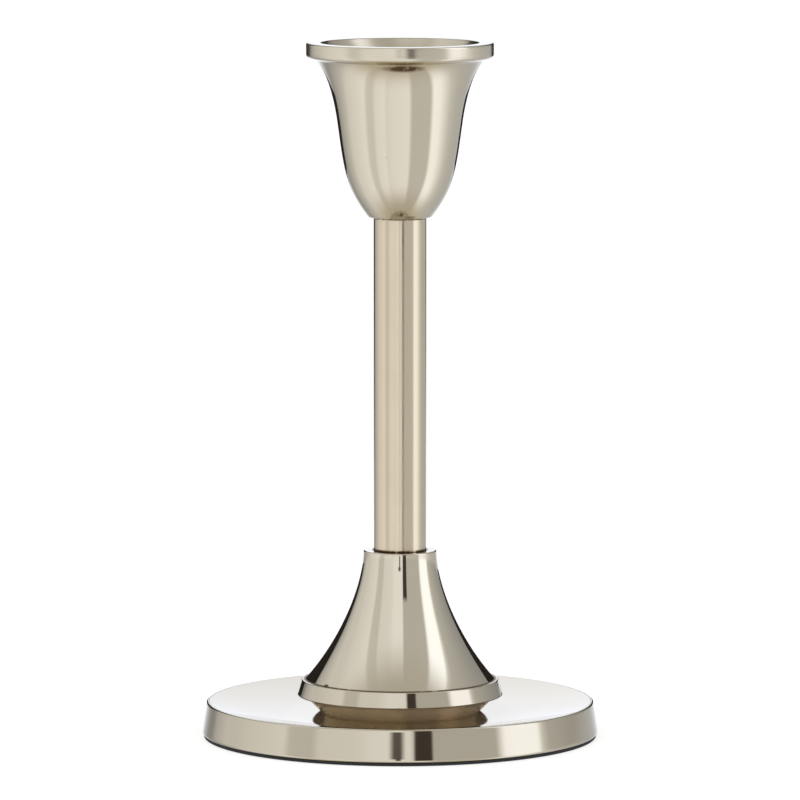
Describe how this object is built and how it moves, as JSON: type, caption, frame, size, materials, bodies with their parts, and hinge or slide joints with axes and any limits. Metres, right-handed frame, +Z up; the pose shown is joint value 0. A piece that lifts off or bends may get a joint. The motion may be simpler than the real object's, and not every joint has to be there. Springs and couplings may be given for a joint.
{
  "type": "candlestick",
  "caption": "Candlestick for one taper candle: flared bell cup with a flat rim on a slim brushed stem, over a trumpet skirt and a round dished base.",
  "frame": {"origin": "middle of the base pad's underside, where the candlestick stands on the table", "axes": "+Z up along the stem and out of the candle cup; +X to the right and +Y to the back, all round alike"},
  "size_m": [0.087, 0.087, 0.1524],
  "materials": {
    "polished_nickel": "polished",
    "brushed_nickel": "satin",
    "zinc_hardware": "satin",
    "turned_brass": "turned",
    "ballast_iron": "rough",
    "black_pad": "matte"
  },
  "bodies": {
    "root": {"candle_cup": "polished_nickel", "cup_washer": "zinc_hardware", "cup_nut": "zinc_hardware", "tie_rod": "zinc_hardware", "stem_top_bush": "turned_brass", "stem_tube": "brushed_nickel", "stem_bottom_bush": "turned_brass", "skirt": "polished_nickel", "foot_collar": "polished_nickel", "base_plate": "polished_nickel", "ballast_disc": "ballast_iron", "base_washer": "zinc_hardware", "base_nut": "zinc_hardware", "base_pad": "black_pad"}
  },
  "joints": []
}
